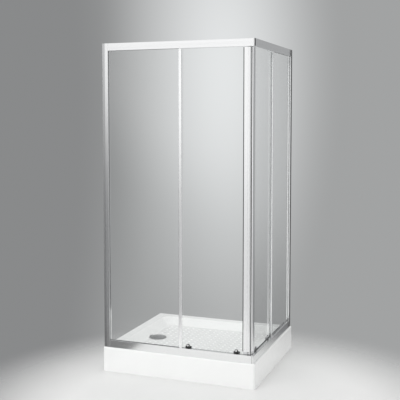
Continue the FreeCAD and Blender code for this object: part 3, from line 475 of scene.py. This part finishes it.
def make_dots():
    """A square grid of dots on the floor, clear of its edges and of the drain."""
    mesh = bmesh.new()
    half_x = TRAY_LENGTH / 2 - FLOOR_INSET - DOT_MARGIN
    half_y = TRAY_WIDTH / 2 - FLOOR_INSET - DOT_MARGIN
    drain_clear = drain_high.x - drain_centre.x + 2 * DOT_RADIUS
    columns = int(2 * half_x / DOT_PITCH)
    rows = int(2 * half_y / DOT_PITCH)
    for column in range(columns + 1):
        for row in range(rows + 1):
            x = (column - columns / 2) * DOT_PITCH
            y = (row - rows / 2) * DOT_PITCH
            off_drain = math.hypot(x - drain_centre.x, y - drain_centre.y)
            if off_drain > drain_clear:
                add_dot(mesh, x, y)
    dots = add_object("tray_grip_dots", mesh, highlit_dot_acrylic)
    faces = dots.data.polygons
    faces.foreach_set("use_smooth", [True] * len(faces))
    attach(dots, "frame")


make_dots()


# Rubber beads where the doors' panes enter their stiles, and a lip at the seam of the doors

BEAD_WIDTH = 0.0048
BEAD_HEIGHT = 0.0009
BEAD_SIDES = 6
LIP_REACH = 0.0029
LIP_HEIGHT = 0.0004
near_corner = Vector((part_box("bottom_rail_side")[1].x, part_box("bottom_rail_front")[0].y, 0))


def to_plan(side, point):
    """A point of one face as its distance from the near corner, its depth and its height."""
    x, y = near_corner.x - point.x, point.y - near_corner.y
    return (x, y, point.z) if side == "front" else (y, x, point.z)


def from_plan(side, along, depth, height):
    """A point of the scene from its plan values on one face."""
    x, y = (along, depth) if side == "front" else (depth, along)
    return (near_corner.x - x, near_corner.y + y, height)


def plan_box(side, name):
    """The least and the greatest plan values of a node."""
    ends = [to_plan(side, point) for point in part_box(name)]
    return [min(pair) for pair in zip(*ends)], [max(pair) for pair in zip(*ends)]


def join_loops(mesh, first, last):
    """Faces between two loops of points, and one across each loop."""
    for i in range(-1, len(first) - 1):
        mesh.faces.new((first[i], first[i + 1], last[i + 1], last[i]))
    for loop in (first, last):
        mesh.faces.new(loop)


def add_bead(mesh, side, first, last, rise, low, high):
    """A half-round upright strip between two plan points, from low to high. It rises off the line that joins
    them."""
    middle, reach = (first + last) / 2, (last - first) / 2
    loops = []
    for z in (low, high):
        turns = [math.pi * i / BEAD_SIDES for i in range(BEAD_SIDES + 1)]
        points = [middle + reach * math.cos(a) + rise * math.sin(a) for a in turns]
        loops.append([mesh.verts.new(from_plan(side, point.x, point.y, z)) for point in points])
    join_loops(mesh, *loops)


def finish_trim(mesh, name, body):
    """Makes a mesh into a rubber piece that rides on a body."""
    bmesh.ops.recalc_face_normals(mesh, faces=mesh.faces)
    trim = add_object(name, mesh, rubber)
    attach(trim, body)


def make_beads(side):
    """Beads on both faces of a door's pane, along its stile."""
    mesh = bmesh.new()
    door = side + "_door"
    outer, inner = (ends[1] for ends in plan_box(side, door + "_glass"))
    low, high = plan_box(side, door + "_stile")
    for depth, height in ((outer, -BEAD_HEIGHT), (inner, BEAD_HEIGHT)):
        first, last = Vector((high[0], depth)), Vector((high[0] + BEAD_WIDTH, depth))
        add_bead(mesh, side, first, last, Vector((0, height)), low[2], high[2])
    finish_trim(mesh, door + "_beads", door)


def make_lip():
    """A dark lip on the outer end of the side door's magnetic seal, at the seam between the two doors."""
    mesh = bmesh.new()
    low, high = plan_box("side", "side_door_magnetic_seal")
    first, last = Vector((low[0] + LIP_REACH, low[1])), Vector((low[0], low[1] + LIP_REACH))
    add_bead(mesh, "side", first, last, Vector((-LIP_HEIGHT, -LIP_HEIGHT)), low[2], high[2])
    finish_trim(mesh, "side_door_seal_lip", "side_door")


make_beads("front")
make_beads("side")
make_lip()


# Dark plates in the grip groove of the stiles' caps, as painted shade of slots, and dark lines on the corner
# pieces: a joint line on the lower one and a painted dark reflection on the upper one

PLATE_RAISE = 0.0003
PLATE_TURNS = 4
SLOT_SIZE = (0.0086, 0.003)
SLOT_RISES = (0.0028, 0.0122)
GROOVE_MIDDLE = 0.01075
GROOVE_DEPTH = 0.0022
REFLECTION_FROM_CORNER = 0.0075
TOP_REFLECTION_WIDTH = 0.009
BOTTOM_JOINT_WIDTH = 0.0014
LINE_END_GAP = 0.001


def add_plate(mesh, side, along, depth, middle, size):
    """A thin plate with round corners, on a face at depth, about a point of that face."""
    width, height = size
    radius = min(size) / 2
    rim = []
    for quarter, (x, z) in enumerate(((1, 1), (-1, 1), (-1, -1), (1, -1))):
        for i in range(PLATE_TURNS):
            turn = math.pi / 2 * (quarter + (i + 0.5) / PLATE_TURNS)
            rim.append((along + x * (width / 2 - radius) + radius * math.cos(turn),
                        middle + z * (height / 2 - radius) + radius * math.sin(turn)))
    loops = [[mesh.verts.new(from_plan(side, s, depth + shift, z)) for s, z in rim]
             for shift in (-PLATE_RAISE, PLATE_RAISE)]
    join_loops(mesh, *loops)


def make_slot_shades(side):
    """Two dark plates in the grip groove of a stile's cap: painted shade of two slots."""
    mesh = bmesh.new()
    door = side + "_door"
    foot = plan_box(side, door + "_stile_cap")[0][2]
    along, face, _ = plan_box(side, door + "_stile")[0]
    for rise in SLOT_RISES:
        # Each plate is painted shade where a slot would be
        add_plate(mesh, side, along + GROOVE_MIDDLE, face + GROOVE_DEPTH, foot + rise, SLOT_SIZE)
    finish_trim(mesh, door + "_cap_slot_shades", door)


def make_corner_line(level, side, from_corner, width):
    """A dark upright line on one face of a corner piece: a joint on the lower one, a painted dark reflection
    on the upper one.
    """
    mesh = bmesh.new()
    low, high = plan_box(side, level + "_corner_connector")
    height = high[2] - low[2] - 2 * LINE_END_GAP
    add_plate(mesh, side, low[0] + from_corner, low[1], (low[2] + high[2]) / 2, (width, height))
    finish_trim(mesh, level + "_corner_dark_line", "frame")


make_slot_shades("front")
make_slot_shades("side")
# The upper corner piece's dark line is a painted dark reflection beside its arris
make_corner_line("top", "side", REFLECTION_FROM_CORNER, TOP_REFLECTION_WIDTH)
rail_start = plan_box("front", "bottom_rail_front")[0][0]
make_corner_line("bottom", "front", rail_start, BOTTOM_JOINT_WIDTH)


# Floor, background and light

FLOOR_CENTRE = (0.35, -0.7, 0)
FLOOR_SIDES = 96
FLOOR_RADIUS = 1.65
FLOOR_SOLID = 0.8
FLOOR_TONE = (0.76, 0.76, 0.755)
FLAG_TONE = (0.17, 0.17, 0.17)
FLAGS = (
    # name, centre, size and turn about the x axis: one lies in front of the lower front rail's left end, and
    # one stands behind the rear jamb
    ("rail_flag", (-0.93, -1.0, 0.003), (0.8, 0.8), 0),
    ("jamb_flag", (0.5, 0.456, 1.1), (0.022, 2.0), math.pi / 2),
)
BACKDROP = (0.36, 0.366, 0.367)
FRONT_TONE = (0.19, 0.193, 0.196)
RIGHT_TONE = (0.38, 0.385, 0.39)
LEFT_TONE = (0.25, 0.254, 0.257)
TONE_CHANGES = (
    # axis of the direction, where on it the background starts to change and where it has the given tone
    ("Y", 0.1, -0.7, FRONT_TONE),
    ("X", 0.0, 0.25, RIGHT_TONE),
    ("X", -0.4, -0.5, LEFT_TONE),
)
AMBIENT = 0.8
PALE = (0.76, 0.775, 0.78)
DARK = (0.18, 0.182, 0.185)
BRIGHT = (1.0, 1.0, 1.0)
PATCHES = (
    # colour, centre, reach on each axis, and the share of the reach that has the full colour
    (PALE, (-0.323, 0.944, 0.06), (0.15, 1.2, 0.42), 0.0),
    (DARK, (0.3, 0.9, -0.34), (0.3, 1.2, 0.26), 0.3),
    (BRIGHT, (-0.25, -0.95, 0.45), (0.42, 1.2, 0.62), 0.8),
    (BRIGHT, (-0.05, -1.0, -0.15), (0.33, 1.2, 0.6), 0.63),
)
LAMPS = (
    # name, place, target, size, and power in watts
    ("key", (-2.0, -4.9, 2.3), (0, 0, 1.3), (3.2, 3.2), 95),
    ("overhead", (0.2, -0.4, 4.6), (0, 0, 0), (3.0, 3.0), 50),
    ("fill", (4.4, -0.6, 2.4), (0, 0, 1.0), (2.0, 2.6), 24),
)


def make_floor():
    """A pale disc that fades into the background before its edge. It can't be seen from below."""
    mesh = bmesh.new()
    bmesh.ops.create_circle(mesh, cap_ends=True, radius=FLOOR_RADIUS, segments=FLOOR_SIDES)
    s = Surface("studio_floor", FLOOR_TONE, roughness=0.55)
    s.colour(s.mottled(s.noise(s.coords, scale=3, detail=4), FLOOR_TONE, 0.97))
    fade = s.remap(s.length(s.coords), 0, 1, FLOOR_SOLID, FLOOR_RADIUS, "SMOOTHSTEP")
    clear = s.node("ShaderNodeBsdfTransparent").outputs[0]
    below = s.node("ShaderNodeNewGeometry").outputs["Backfacing"]
    surface = s.mix_shaders(below, s.mix_shaders(fade, s.shader.outputs[0], clear), clear)
    s.link(surface, s.output.inputs["Surface"])
    floor = add_object("studio_floor", mesh, s.material)
    floor.location = FLOOR_CENTRE


def make_flag(name, centre, size, turn):
    """A dark card for metal to mirror. Only mirrored rays see it."""
    mesh = bmesh.new()
    bmesh.ops.create_grid(mesh, x_segments=1, y_segments=1, size=0.5)
    flag = add_object(name, mesh, moulded_plastic(name, FLAG_TONE, low=0.7, high=0.8))
    flag.location = centre
    flag.scale = (*size, 1)
    flag.rotation_euler.x = turn
    flag.visible_camera = flag.visible_diffuse = flag.visible_shadow = flag.visible_transmission = False


def make_world():
    """A plain background with soft changes of tone, palest behind the doors. It has two bright patches in
    front and a dark one behind for the metal to mirror. Other surfaces get an even light from it."""
    world = bpy.data.worlds.new("studio")
    world.use_nodes = True
    scene.world = world
    t = Tree(world.node_tree)
    direction = t.node("ShaderNodeTexCoord").outputs["Generated"]
    axes = t.node("ShaderNodeSeparateXYZ")
    t.link(direction, axes.inputs[0])
    shown = BACKDROP
    for axis, start, end, tone in TONE_CHANGES:
        shown = t.blend(t.remap(axes.outputs[axis], 0, 1, start, end, "SMOOTHSTEP"), shown, tone)
    for colour, centre, reach, core in PATCHES:
        offset = t.vector("DIVIDE", t.vector("SUBTRACT", direction, centre), reach)
        shown = t.blend(t.remap(t.length(offset), 1, 0, core, 1, "SMOOTHSTEP"), shown, colour)
    seen = t.tree.nodes["Background"]
    t.link(shown, seen.inputs["Color"])
    lit = t.node("ShaderNodeBackground")
    lit.inputs["Color"].default_value = (1, 1, 1, 1)
    lit.inputs["Strength"].default_value = AMBIENT
    path = t.node("ShaderNodeLightPath")
    result = lit.outputs[0]
    for ray in ("Is Camera Ray", "Is Glossy Ray", "Is Transmission Ray"):
        result = t.mix_shaders(path.outputs[ray], result, seen.outputs[0])
    t.link(result, t.tree.nodes["World Output"].inputs["Surface"])


def area_lamp(name, place, target, size, power):
    """A rectangular lamp that faces its target. Metal and glass mirror the background, and not the lamp."""
    lamp = bpy.data.lights.new(name, "AREA")
    lamp.shape = "RECTANGLE"
    lamp.size, lamp.size_y = size
    lamp.energy = power
    made = bpy.data.objects.new(name, lamp)
    made.location = place
    made.rotation_euler = (Vector(target) - Vector(place)).to_track_quat("-Z", "Y").to_euler()
    made.visible_glossy = made.visible_transmission = False
    scene.collection.objects.link(made)


make_floor()
for flag_row in FLAGS:
    make_flag(*flag_row)
make_world()
for lamp_row in LAMPS:
    area_lamp(*lamp_row)


# Camera

# Place, then yaw and pitch in degrees, lens and sensor in millimetres, and upright shift
CAMERA_PLACE = (1.7814, -4.7467, 1.6254)
CAMERA_YAW = 20.730
CAMERA_PITCH = -3.799
CAMERA_LENS = 69.27
CAMERA_SENSOR = 36.0
CAMERA_SHIFT = -0.0825

camera = bpy.data.cameras.new("camera")
camera.sensor_width = CAMERA_SENSOR
camera.lens = CAMERA_LENS
camera.shift_y = CAMERA_SHIFT
viewer = bpy.data.objects.new("camera", camera)
viewer.location = CAMERA_PLACE
viewer.rotation_euler = (math.radians(90 + CAMERA_PITCH), 0, math.radians(CAMERA_YAW))
scene.collection.objects.link(viewer)
scene.camera = viewer
scene.view_settings.view_transform = "Standard"
